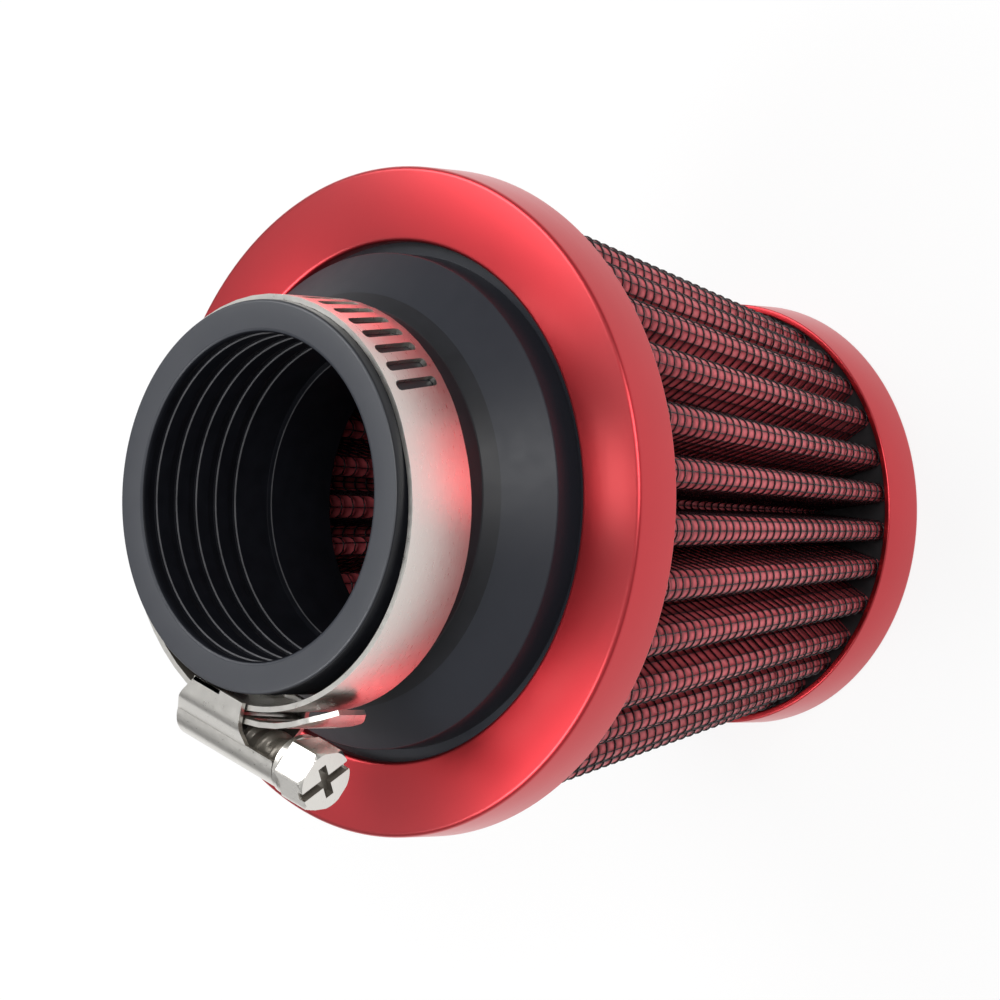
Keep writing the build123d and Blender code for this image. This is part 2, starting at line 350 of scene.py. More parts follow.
def mottled_group():
    """Shared effect: a colour varied by fine noise, and the noise itself as a mask."""
    name = "Mottle"
    if name in bpy.data.node_groups:
        return bpy.data.node_groups[name]
    tree = bpy.data.node_groups.new(name, "ShaderNodeTree")
    face = tree.interface
    face.new_socket("Colour", in_out="INPUT", socket_type="NodeSocketColor")
    face.new_socket("Scale", in_out="INPUT", socket_type="NodeSocketFloat").default_value = 900
    face.new_socket("Variation", in_out="INPUT", socket_type="NodeSocketFloat").default_value = 0.15
    face.new_socket("Stretch", in_out="INPUT", socket_type="NodeSocketVector").default_value = (1, 1, 1)
    face.new_socket("Colour", in_out="OUTPUT", socket_type="NodeSocketColor")
    face.new_socket("Mask", in_out="OUTPUT", socket_type="NodeSocketFloat")
    given, result = tree.nodes.new("NodeGroupInput"), tree.nodes.new("NodeGroupOutput")
    spread = vector_node(tree, "MULTIPLY", object_place(tree), given.outputs["Stretch"])
    grain = {"Vector": spread.outputs[0], "Scale": given.outputs["Scale"], "Detail": 6}
    mask = add(tree, "ShaderNodeTexNoise", grain).outputs["Fac"]
    centred = math_node(tree, "SUBTRACT", mask, 0.5)
    swing = math_node(tree, "MULTIPLY", given.outputs["Variation"], 4)
    gain = math_node(tree, "MULTIPLY_ADD", centred, swing, 1.0)
    tint = {0: given.outputs["Colour"], "Scale": gain}
    tinted = add(tree, "ShaderNodeVectorMath", tint, operation="SCALE")
    tree.links.new(tinted.outputs[0], result.inputs["Colour"])
    tree.links.new(mask, result.inputs["Mask"])
    return tree


def mottled(tree, rgb, scale, variation, stretch=(1, 1, 1)):
    """A use of the shared mottle effect."""
    inputs = {"Colour": (*rgb, 1), "Scale": scale, "Variation": variation, "Stretch": stretch}
    node = tree.nodes.new("ShaderNodeGroup")
    node.node_tree = mottled_group()
    for key, value in inputs.items():
        node.inputs[key].default_value = value
    return node


def bump(tree, shader, height, strength, distance=0.0001):
    """Feeds a height into the shader's normal."""
    node = add(tree, "ShaderNodeBump", {"Height": height, "Strength": strength, "Distance": distance})
    tree.links.new(node.outputs["Normal"], shader.inputs["Normal"])


def turned_lines(tree, scale):
    """Fine rings about the Z axis, as a value over the surface."""
    radius, height = about_axis(tree)
    turning = add(tree, "ShaderNodeCombineXYZ", {"X": radius, "Y": height})
    grain = {"Vector": turning.outputs[0], "Scale": scale, "Detail": 3}
    return add(tree, "ShaderNodeTexNoise", grain).outputs["Fac"]


def anodised_material(colours):
    """Finely turned aluminium under a clear red oxide layer."""
    material, shader, tree = node_material("anodised")
    lines = turned_lines(tree, 6000)
    tone = mottled(tree, colours.anodised, 60, 0.05)
    tree.links.new(tone.outputs["Colour"], shader.inputs["Base Color"])
    shader.inputs["Metallic"].default_value = 1
    tree.links.new(math_node(tree, "MULTIPLY_ADD", lines, 0.14, 0.27), shader.inputs["Roughness"])
    shader.inputs["Anisotropic"].default_value = 0.75
    shader.inputs["Anisotropic Rotation"].default_value = 0.25
    tangent = add(tree, "ShaderNodeTangent", direction_type="RADIAL", axis="Z")
    tree.links.new(tangent.outputs[0], shader.inputs["Tangent"])
    shader.inputs["Coat Weight"].default_value = 0.6
    shader.inputs["Coat Roughness"].default_value = 0.3
    shader.inputs["Coat IOR"].default_value = 1.6
    bump(tree, shader, lines, 0.05)
    return material


def rubber_material(colours):
    """Moulded rubber with a painted sheen (a lighter colour) on the rim and the flare, and painted
    highlights on the sealing edges and the throat's step.
    """
    material, shader, tree = node_material("rubber")
    sizes = bpy.context.scene.filter_sizes
    tone = mottled(tree, colours.rubber, 420, 0.22)
    mask = tone.outputs["Mask"]
    radius, height = about_axis(tree)
    edge_line, step_line, lip_line, rim_line = 0.11 * MM, 0.08 * MM, 0.12 * MM, 0.12 * MM
    highlight_reach, flare_start, bore_reach = 0.15 * MM, 1.5 * MM, 0.1 * MM
    # Painted highlights: thin light lines on the sealing edges and on the throat's step, mixed into the
    # rubber's colour.
    below = math_node(tree, "SUBTRACT", sizes.seal_first, height)
    to_edge = math_node(tree, "PINGPONG", below, sizes.seal_pitch / 2)
    to_step = math_node(tree, "ABSOLUTE", math_node(tree, "SUBTRACT", height, sizes.throat_step))
    last = (sizes.seal_count - 0.5) * sizes.seal_pitch
    edge_highlight = math_node(tree, "LESS_THAN", to_edge, edge_line)
    edge_highlight = math_node(tree, "MULTIPLY", edge_highlight, math_node(tree, "LESS_THAN", below, last))
    lip = math_node(tree, "LESS_THAN", radius, sizes.throat + lip_line)
    lip = math_node(tree, "MULTIPLY", math_node(tree, "LESS_THAN", to_step, step_line), lip)
    edge_highlight = math_node(tree, "MAXIMUM", edge_highlight, math_node(tree, "MULTIPLY", lip, 0.6))
    in_bore = math_node(tree, "LESS_THAN", radius, sizes.bore + highlight_reach)
    edge_highlight = math_node(tree, "MULTIPLY", edge_highlight, in_bore)
    edge_highlight = math_node(tree, "MULTIPLY", edge_highlight, math_node(tree, "MULTIPLY_ADD", mask, 0.8, 0.4))
    skin = mixed(tree, edge_highlight, tone.outputs["Colour"], (*colours.edge_highlight, 1))
    # Painted sheen: the rim's face and the flare get a lighter colour in place of their sheen.
    rim = math_node(tree, "GREATER_THAN", height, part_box("rubber_boot")[1].z - rim_line)
    flare = math_node(tree, "GREATER_THAN", radius, sizes.neck + flare_start)
    sheen_mask = math_node(tree, "MAXIMUM", rim, math_node(tree, "MULTIPLY", flare, 0.8))
    tree.links.new(mixed(tree, sheen_mask, skin, (*colours.painted_sheen, 1)), shader.inputs["Base Color"])
    tree.links.new(math_node(tree, "MULTIPLY_ADD", mask, 0.16, 0.36), shader.inputs["Roughness"])
    inside = math_node(tree, "LESS_THAN", radius, sizes.bore + sizes.seal_depth + bore_reach)
    sheen = math_node(tree, "MULTIPLY_ADD", inside, -0.28, 0.38)
    sheen = math_node(tree, "MULTIPLY_ADD", rim, 0.36, sheen)
    tree.links.new(sheen, shader.inputs["Specular IOR Level"])
    bump(tree, shader, mask, 0.15)
    return material


def cotton_material(colours):
    """Gauze that swells between the wires, with painted shade beside them."""
    material, shader, tree = node_material("cotton")
    weave = add(tree, "ShaderNodeUVMap", uv_map="weave").outputs[0]
    split = add(tree, "ShaderNodeSeparateXYZ", {0: weave})
    swell = []
    for axis in ("X", "Y"):
        part = math_node(tree, "SINE", math_node(tree, "MULTIPLY", split.outputs[axis], pi))
        swell.append(math_node(tree, "POWER", math_node(tree, "ABSOLUTE", part), 0.6))
    pillow_and_shade = math_node(tree, "MULTIPLY", *swell)
    tone = mottled(tree, colours.cotton, 1500, 0.12)
    # Painted shade: the colour darkens towards the wires, following the same swell that drives the bump.
    gauze = mixed(tree, pillow_and_shade, (*colours.cotton_painted_shade, 1), tone.outputs["Colour"])
    tree.links.new(gauze, shader.inputs["Base Color"])
    shader.inputs["Roughness"].default_value = 0.42
    height = math_node(tree, "MULTIPLY_ADD", tone.outputs["Mask"], 0.15, pillow_and_shade)
    bump(tree, shader, height, 1.0, 0.0003)
    return material


def facing_neck(tree):
    """A value of 1 on faces that look towards the neck; it masks the steel's painted shade."""
    given = tree.nodes.new("ShaderNodeTexCoord").outputs
    outward = vector_node(tree, "MULTIPLY", given["Object"], (1, 1, 0))
    outward = vector_node(tree, "NORMALIZE", outward.outputs[0])
    turned = vector_node(tree, "DOT_PRODUCT", given["Normal"], outward.outputs[0])
    return math_node(tree, "LESS_THAN", turned.outputs["Value"], -0.3)


def near_screw(tree, foot, way, radius, end):
    """A value of 1 inside a cylinder about the screw: on the thread and in the recess, where the screw's
    steel gets painted shade.
    """
    off = vector_node(tree, "SUBTRACT", object_place(tree), foot).outputs[0]
    level = vector_node(tree, "DOT_PRODUCT", off, way).outputs["Value"]
    aside = vector_node(tree, "CROSS_PRODUCT", off, way).outputs[0]
    aside = vector_node(tree, "LENGTH", aside).outputs["Value"]
    deep = math_node(tree, "LESS_THAN", level, end)
    return math_node(tree, "MULTIPLY", deep, math_node(tree, "LESS_THAN", aside, radius))


def steel_material(colours, painted_shade, *details):
    """Bright rolled stainless strip with fine lines along it, with painted shade (a darker, less metallic
    colour) where the given mask is 1.
    """
    material, shader, tree = node_material("steel")
    tone = mottled(tree, colours.steel, 900, 0.04, (1, 1, 9))
    # Painted shade: the mask mixes in the darker steel colour and lowers the metallic share.
    shade_amount = painted_shade(tree, *details)
    strip = mixed(tree, shade_amount, tone.outputs["Colour"], (*colours.painted_shade, 1))
    tree.links.new(strip, shader.inputs["Base Color"])
    tree.links.new(math_node(tree, "MULTIPLY_ADD", shade_amount, -0.6, 1.0), shader.inputs["Metallic"])
    rough = math_node(tree, "MULTIPLY_ADD", tone.outputs["Mask"], 0.16, 0.22)
    tree.links.new(rough, shader.inputs["Roughness"])
    bump(tree, shader, tone.outputs["Mask"], 0.04)
    return material


def plain_material(name, rgb, roughness, scale, variation, relief=0.1):
    """A material of one colour with fine mottling."""
    material, shader, tree = node_material(name)
    tone = mottled(tree, rgb, scale, variation)
    tree.links.new(tone.outputs["Colour"], shader.inputs["Base Color"])
    rough = math_node(tree, "MULTIPLY_ADD", tone.outputs["Mask"], 0.2, roughness - 0.1)
    tree.links.new(rough, shader.inputs["Roughness"])
    bump(tree, shader, tone.outputs["Mask"], relief)
    return material


def seen_share(tree):
    """A value of 1 for what the camera sees, also in mirrors and through glass."""
    path = tree.nodes.new("ShaderNodeLightPath").outputs
    seen = math_node(tree, "MAXIMUM", path["Is Camera Ray"], path["Is Glossy Ray"])
    return math_node(tree, "MAXIMUM", seen, path["Is Transmission Ray"])


def floor_material(colours):
    """White studio floor that keeps a faint shadow."""
    material, shader, tree = node_material("floor")
    tone = mottled(tree, colours.floor, 30, 0.004)
    tree.links.new(tone.outputs["Colour"], shader.inputs["Base Color"])
    shader.inputs["Roughness"].default_value = 0.9
    glow = add(tree, "ShaderNodeEmission", {"Color": (1, 1, 1, 1), "Strength": 1.0})
    share = math_node(tree, "MULTIPLY", seen_share(tree), bpy.context.scene.filter_stage.backdrop)
    mix = add(tree, "ShaderNodeMixShader", {"Fac": share, 1: shader.outputs[0], 2: glow.outputs[0]})
    tree.links.new(mix.outputs[0], tree.nodes["Material Output"].inputs["Surface"])
    return material


def studio_world(settings):
    """Surroundings that are light overhead and darker at the horizon, and white to the camera."""
    world = bpy.data.worlds.new("studio")
    world.use_nodes = True
    tree = world.node_tree
    sky = tree.nodes["Background"]
    sky.inputs["Color"].default_value = (1, 1, 1, 1)
    way = tree.nodes.new("ShaderNodeTexCoord").outputs["Generated"]
    height = add(tree, "ShaderNodeSeparateXYZ", {0: way}).outputs["Z"]
    span = {"From Min": 0.1, "From Max": 0.9, "To Min": settings.world_low, "To Max": settings.world}
    rise = add(tree, "ShaderNodeMapRange", {"Value": height, **span}, interpolation_type="SMOOTHSTEP")
    camera = tree.nodes.new("ShaderNodeLightPath").outputs["Is Camera Ray"]
    strength = math_node(tree, "MAXIMUM", rise.outputs[0], camera)
    tree.links.new(strength, sky.inputs["Strength"])
    return world


def material_named(name, make, *details):
    """The look of that name, made once and kept apart from the frame's own materials."""
    key = name + " look"
    found = bpy.data.materials.get(key)
    if found is None:
        found = make(*details)
        found.name = key
    return found


class Pleats:
    """The folded pack: gives points of its surface for a height, an inset and a place along the fold."""

    def __init__(self, sizes):
        low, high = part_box("outer_screen")
        self.front_z, self.rear_z = high.z, low.z
        self.sizes = sizes
        self.front_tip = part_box("front_ring")[1].x - sizes.ring_wall - sizes.pack_gap
        self.rear_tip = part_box("rear_cap")[1].x - sizes.cap_wall - sizes.pack_gap
        self.half_pitch = pi / sizes.pleats
        self.wires = (sizes.wires_crest, sizes.wires_flank, sizes.wires_valley)

    def fold(self, t, inset, steps):
        """Points (along the crest's radius, across it) of one fold from valley to valley."""
        s = self.sizes
        crest_steps, flank_steps, valley_steps = steps
        tip = self.front_tip + (self.rear_tip - self.front_tip) * t - inset
        width = s.front_half + (s.rear_half - s.front_half) * t - inset
        bottom = tip - s.pleat_depth
        centre = (bottom - width) / (1 - sin(self.half_pitch))
        root = centre - bottom
        a = np.linspace(0, pi / 2, crest_steps, endpoint=False)
        crest = np.stack([tip - width + width * np.cos(a), width * np.sin(a)], axis=1)
        foot = centre * cos(self.half_pitch)
        u = np.linspace(tip - width, foot, flank_steps, endpoint=False)
        flank = np.stack([u, np.full_like(u, width)], axis=1)
        a = np.linspace(-pi / 2, -pi + self.half_pitch, valley_steps + 1)
        rise = centre * sin(self.half_pitch)
        valley = np.stack([foot + root * np.cos(a), rise + root * np.sin(a)], axis=1)
        side = np.concatenate([crest, flank, valley])
        return np.concatenate([side[:0:-1] * (1, -1), side])[:-1]

    def wire_count(self, steps):
        """Wires passed at each point of one fold, counted from its crest."""
        marks = np.cumsum((0, *self.wires))
        runs = [np.linspace(marks[i], marks[i + 1], steps[i], endpoint=False) for i in range(3)]
        side = np.concatenate([*runs, marks[3:]])
        return np.concatenate([-side[:0:-1], side])[:-1]

    def stray(self, i):
        """How far a fold leans from its even place."""
        return self.sizes.pleat_jitter * (sin(2.3 * i + 0.4) + 0.6 * sin(5.1 * i)) / 1.6

    def loop(self, t, inset, steps):
        """Closed loop of points round the filter at a share t of the way from ring to cap."""
        fold = self.fold(t, inset, steps)
        z = self.front_z + (self.rear_z - self.front_z) * t
        rows = []
        for i in range(self.sizes.pleats):
            a = self.sizes.pleat_phase + 2 * self.half_pitch * i + self.stray(i)
            x = fold[:, 0] * cos(a) - fold[:, 1] * sin(a)
            y = fold[:, 0] * sin(a) + fold[:, 1] * cos(a)
            rows.append(np.stack([x, y, np.full_like(x, z)], axis=1))
        return np.concatenate(rows)


def tubes(name, paths, guides, radius, sides, closed):
    """Thin round wires along equal-length paths; guides give a direction across each path."""
    ahead = np.roll(paths, -1, axis=1) - np.roll(paths, 1, axis=1)
    if not closed:
        ahead[:, 0] = paths[:, 1] - paths[:, 0]
        ahead[:, -1] = paths[:, -1] - paths[:, -2]
    ahead /= np.linalg.norm(ahead, axis=2, keepdims=True)
    across = np.cross(ahead, guides)
    across /= np.linalg.norm(across, axis=2, keepdims=True)
    other = np.cross(across, ahead)
    a = np.arange(sides) * 2 * pi / sides
    rim = across[:, :, None] * np.cos(a)[:, None] + other[:, :, None] * np.sin(a)[:, None]
    points = paths[:, :, None] + radius * rim
    quads = grid_quads(paths.shape[1], sides, closed, True)
    every = np.arange(len(paths))[:, None, None] * (paths.shape[1] * sides) + quads[None]
    return mesh_object(name, points.reshape(-1, 3), every.reshape(-1, 4))


class FILTER_OT_boot(bpy.types.Operator):
    """Build the moulded rubber neck, flare and throat"""

    bl_idname = "filter.boot"
    bl_label = "Rubber boot"

    def execute(self, context):
        s = context.scene.filter_sizes
        low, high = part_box("rubber_boot")
        pack_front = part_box("outer_screen")[1].z
        flange_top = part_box("front_ring")[1].z - s.ring_face
        soft, crisp = 0.35 * MM, 0.06 * MM
        outline = [(s.bore, high.z, 0.5 * MM)]
        for i in range(s.seal_count):
            edge = s.seal_first - i * s.seal_pitch
            outline.append((s.bore, edge + s.seal_run, crisp))
            outline.append((s.bore + s.seal_depth, edge, crisp))
            outline.append((s.bore, edge, crisp))
        outline += [(s.bore, s.throat_step, crisp), (s.throat, s.throat_step, crisp)]
        outline += [(s.throat, low.z, soft), (s.spigot, low.z, soft), (s.spigot, pack_front, 0)]
        outline += [(high.x, pack_front, 0), (high.x, flange_top, 0), (s.shoulder, flange_top, 0)]
        outline += [(s.shoulder, s.shoulder_edge, soft)]
        outline += [(s.neck, s.flare_top, soft), (s.neck, high.z, soft)]
        boot = lathe("boot", outline)
        rubber = material_named("rubber", rubber_material, context.scene.filter_colours)
        finish_piece(boot, rubber, ["rubber_boot"])
        return {"FINISHED"}


class FILTER_OT_ring(bpy.types.Operator):
    """Build the anodised front ring and the rear cap"""

    bl_idname = "filter.ring"
    bl_label = "Ring and cap"

    def execute(self, context):
        s = context.scene.filter_sizes
        anodised = material_named("anodised", anodised_material, context.scene.filter_colours)
        low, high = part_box("front_ring")
        fine = 0.2 * MM
        under = high.z - s.ring_face
        ring = lathe(
            "ring",
            [
                (s.ring_hole, under, 0),
                (s.ring_hole, high.z, s.edge_round),
                (high.x, high.z, s.edge_round),
                (high.x, low.z, fine),
                (high.x - s.ring_wall, low.z, fine),
                (high.x - s.ring_wall, under, 0),
            ][::-1],
        )
        finish_piece(ring, anodised, ["front_ring"])
        low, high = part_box("rear_cap")
        cap = lathe(
            "cap",
            [
                (ON_AXIS, low.z, 0),
                (high.x, low.z, s.edge_round),
                (high.x, high.z, fine),
                (high.x - s.cap_wall, high.z, fine),
                (high.x - s.cap_wall, low.z + s.cap_floor, 0),
                (ON_AXIS, low.z + s.cap_floor, 0),
            ][::-1],
        )
        finish_piece(cap, anodised, ["rear_cap"])
        return {"FINISHED"}


class FILTER_OT_cotton(bpy.types.Operator):
    """Build the pleated cotton and the sealing compound behind it"""

    bl_idname = "filter.cotton"
    bl_label = "Cotton and potting"

    def execute(self, context):
        s = context.scene.filter_sizes
        colours = context.scene.filter_colours
        pleats = Pleats(s)
        rows, steps = 9, (8, 12, 4)
        wires_down = (pleats.front_z - pleats.rear_z) / s.wire_pitch
        under = 2 * s.wire
        skins = []
        for inset in (under, s.pack_wall - under):
            skins.append([pleats.loop(t, inset, steps) for t in np.linspace(0, 1, rows)])
        points = np.concatenate([np.array(skins[0]), np.array(skins[1])[::-1]])
        around = points.shape[1]
        per_fold = 2 * sum(pleats.wires)
        across = np.concatenate([pleats.wire_count(steps) + i * per_fold for i in range(s.pleats)])
        across = np.tile(across, (2 * rows, 1))
        down = np.concatenate([np.linspace(0, wires_down, rows), np.linspace(wires_down, 0, rows)])
        uv = np.stack([across, np.tile(down[:, None], (1, around))], axis=2)
        quads = grid_quads(2 * rows, around, True, True)
        cotton = mesh_object("cotton", points.reshape(-1, 3), quads[:, ::-1], uv.reshape(-1, 2))
        gauze = material_named("cotton", cotton_material, colours)
        finish_piece(cotton, gauze, ["cotton_media"], sharp=80)
        low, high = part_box("rear_potting")
        block = [(ON_AXIS, high.z, 0), (high.x, high.z, 0), (high.x, low.z, 0), (ON_AXIS, low.z, 0)]
        fill = lathe("potting", block)
        black = material_named("potting", plain_material, "potting", colours.potting, 0.4, 700, 0.2)
        finish_piece(fill, black, ["rear_potting"])
        return {"FINISHED"}


class FILTER_OT_screens(bpy.types.Operator):
    """Build the wire screens outside and inside the cotton"""

    bl_idname = "filter.screens"
    bl_label = "Wire screens"

    def execute(self, context):
        s = context.scene.filter_sizes
        colours = context.scene.filter_colours
        black = material_named("wire", plain_material, "wire", colours.wire, 0.28, 2500, 0.2)
        pleats = Pleats(s)
        rows = int((pleats.front_z - pleats.rear_z) / s.wire_pitch)
        shares = (np.arange(rows) + 0.5) / rows
        for side, node in (("outer", "outer_screen"), ("inner", "inner_screen")):
            ring_inset, line_inset = s.wire, 2 * s.wire
            if side == "inner":
                ring_inset, line_inset = s.pack_wall - ring_inset, s.pack_wall - line_inset
            loops = np.array([pleats.loop(t, ring_inset, (5, 3, 2)) for t in shares])
            up = np.broadcast_to(np.array([0.0, 0, 1]), loops.shape)
            rings = tubes(side + "_rings", loops, up, s.wire, 3, True)
            finish_piece(rings, black, [node], sharp=180)
            ends = np.array([pleats.loop(t, line_inset, pleats.wires) for t in np.linspace(0, 1, 6)])
            lines = np.swapaxes(ends, 0, 1)
            wires = tubes(side + "_lines", lines, lines * (1, 1, 0), s.wire_along, 4, False)
            finish_piece(wires, black, [node], sharp=180)
        return {"FINISHED"}


class ClampFrame:
    """Directions and the band's path of the clamp."""

    def __init__(self, sizes):
        low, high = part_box("clamp_band")
        self.c = c = sizes
        self.middle = (low.z + high.z) / 2
        self.half = (high.z - low.z) / 2
        self.out = Vector((-cos(c.turn), sin(c.turn), 0))
        self.head = Vector((-sin(c.turn), -cos(c.turn), 0))
        mid = c.loop + c.wall / 2
        over = mid + c.wall + c.tail_gap + c.slot_pitch**2 / (8 * mid)
        lift = (over**2 - mid**2) / (2 * (mid + over * sin(c.fixed_end - c.slack_turn)))
        self.slack_out, self.slack_along = c.slack * cos(c.slack_turn), c.slack * sin(c.slack_turn)
        tail_out = self.slack_out - lift * sin(c.slack_turn)
        tail_along = self.slack_along + lift * cos(c.slack_turn)
        self.tail_top = tail_out + mid + lift
        self.screw_axis = self.tail_top + c.wall / 2 + c.worm_seat
        leave, meet = pi / 2 + c.slack_turn, 1.5 * pi + c.slack_turn
        across = (mid * cos(leave), mid * sin(leave))
        plain = [
            ("arc", (self.slack_out, self.slack_along), mid, c.fixed_end, leave),
            ("line", (self.slack_out + across[0], self.slack_along + across[1]), c.slack, leave, leave),
            ("arc", (0, 0), mid, leave, c.first_slot),
        ]
        slotted = [
            ("arc", (0, 0), mid, c.first_slot, meet),
            ("line", (-across[0], -across[1]), c.slack, meet, meet),
            ("arc", (tail_out, tail_along), mid + lift, meet - 2 * pi, 0),
            ("arc", (self.tail_top - c.curl, tail_along), c.curl, 0, c.curl_turn),
        ]
        self.stretches = plain + slotted
        self.slots_from = sum(self.run_of(stretch) for stretch in plain)
        self.total = self.slots_from + sum(self.run_of(stretch) for stretch in slotted)

    @staticmethod
    def run_of(stretch):
        """Length of one stretch of the band."""
        kind, place, radius, start, end = stretch
        return radius if kind == "line" else radius * (end - start)

    def place(self, along_out, up, along_head):
        """A point from its distance out, its height over the band's middle and its place on the screw."""
        return self.out * along_out + self.head * along_head + Vector((0, 0, self.middle + up))

    def band(self, run, up, rise):
        """A point of the band: run is the length from the fixed end, rise is across its thickness."""
        for stretch in self.stretches:
            share = run / self.run_of(stretch)
            if share <= 1:
                break
            run -= self.run_of(stretch)
        kind, (out, along), radius, start, end = stretch
        a = start + min(share, 1) * (end - start)
        if kind == "line":
            run = share * radius
            return self.place(out - run * sin(a) + rise * cos(a), up, along + run * cos(a) + rise * sin(a))
        reach = radius + rise
        return self.place(out + reach * cos(a), up, along + reach * sin(a))


def polygon_object(name, points, faces):
    """A smooth mesh of faces of any number of corners."""
    mesh = bpy.data.meshes.new(name)
    mesh.from_pydata([tuple(p) for p in points], [], faces)
    mesh.validate()
    form = bmesh.new()
    form.from_mesh(mesh)
    bmesh.ops.recalc_face_normals(form, faces=form.faces)
    form.to_mesh(mesh)
    form.free()
    mesh.shade_smooth()
    made = bpy.data.objects.new(name, mesh)
    bpy.context.scene.collection.objects.link(made)
    return made


def eased(piece, width, angle_limit=40):
    """Breaks a piece's sharp edges with a narrow round."""
    modifier = piece.modifiers.new("eased edges", "BEVEL")
    modifier.width, modifier.segments = width, 2
    modifier.limit_method, modifier.angle_limit = "ANGLE", radians(angle_limit)
    modifier.harden_normals = True


def steel_for(colours):
    """The bright stainless finish shared by the clamp's pieces, with painted shade on faces that look
    towards the neck.
    """
    return material_named("steel", steel_material, colours, facing_neck)


class FILTER_OT_band(bpy.types.Operator):
    """Build the slotted band of the clamp"""

    bl_idname = "filter.band"
    bl_label = "Clamp band"

    def cells(self, clamp):
        """Cells of the band along its length as (start, end, slotted)."""
        c = clamp.c
        plain_count, tip_count = 48, 6
        slots = int((clamp.total - clamp.slots_from - c.tail_taper) / c.slot_pitch)
        slots_to = clamp.slots_from + slots * c.slot_pitch
        plain = np.linspace(0, clamp.slots_from, plain_count + 1)
        slotted = np.linspace(clamp.slots_from, slots_to, slots + 1)
        tip = np.linspace(slots_to, clamp.total, tip_count + 1)
        runs = [(plain, False), (slotted, True), (tip, False)]
        return [(a, b, cut) for marks, cut in runs for a, b in zip(marks[:-1], marks[1:])]

    def execute(self, context):
        clamp = ClampFrame(context.scene.clamp_sizes)
        c = clamp.c
        reach, wide = c.slot_length / 2, c.slot_width / 2
        corner = 0.4 * c.slot_width
        near_corner = 0.3 * corner
        half_slot = [reach - corner, reach - near_corner, reach]
        inside = [*[-u for u in reversed(half_slot)], 0, *half_slot]
        half_widths = [wide, wide - near_corner, wide - corner]
        widths = [*reversed(half_widths), wide, *half_widths]
        lean = tan(c.slot_tilt)
        points, faces, known = [], [], {}

        def vertex(run, up, layer):
            key = (round(run, 8), round(up, 8), layer)
            if key not in known:
                known[key] = len(points)
                points.append(clamp.band(run, up, (layer - 0.5) * c.wall))
            return known[key]

        def panel(corners):
            faces.append([vertex(run, up, 1) for run, up in corners])
            faces.append([vertex(run, up, 0) for run, up in reversed(corners)])

        def wall(a, b):
            faces.append([vertex(*a, 0), vertex(*b, 0), vertex(*b, 1), vertex(*a, 1)])

        def half_at(run):
            left = min((clamp.total - run) / c.tail_taper, 1)
            return clamp.half * (0.45 + 0.55 * left)

        for start, end, cut in self.cells(clamp):
            levels = [-1, *[u / clamp.half for u in inside], 1]
            left = [(start, u * half_at(start)) for u in levels]
            right = [(end, u * half_at(end)) for u in levels]
            if cut:
                middle = (start + end) / 2
                near = [(middle - w - u * lean, u) for u, w in zip(inside, widths)]
                far = [(middle + w - u * lean, u) for u, w in zip(inside, widths)]
                for k in range(len(inside) - 1):
                    panel([left[k + 1], near[k], near[k + 1], left[k + 2]])
                    panel([far[k], right[k + 1], right[k + 2], far[k + 1]])
                    wall(near[k], near[k + 1])
                    wall(far[k + 1], far[k])
                panel([left[0], right[0], right[1], far[0], near[0], left[1]])
                panel([left[-2], near[-1], far[-1], right[-2], right[-1], left[-1]])
                wall(far[0], near[0])
                wall(near[-1], far[-1])
            else:
                for k in range(len(levels) - 1):
                    panel([left[k], right[k], right[k + 1], left[k + 1]])
            wall(right[0], left[0])
            wall(left[-1], right[-1])
            if start == 0:
                for k in range(len(levels) - 1):
                    wall(left[k], left[k + 1])
            if clamp.total - end < 0.01 * MM:
                for k in range(len(levels) - 1):
                    wall(right[k + 1], right[k])
        band = polygon_object("band", points, [face[::-1] for face in faces])
        finish_piece(band, steel_for(context.scene.filter_colours), ["clamp_band"])
        eased(band, 0.06 * MM, 60)
        return {"FINISHED"}


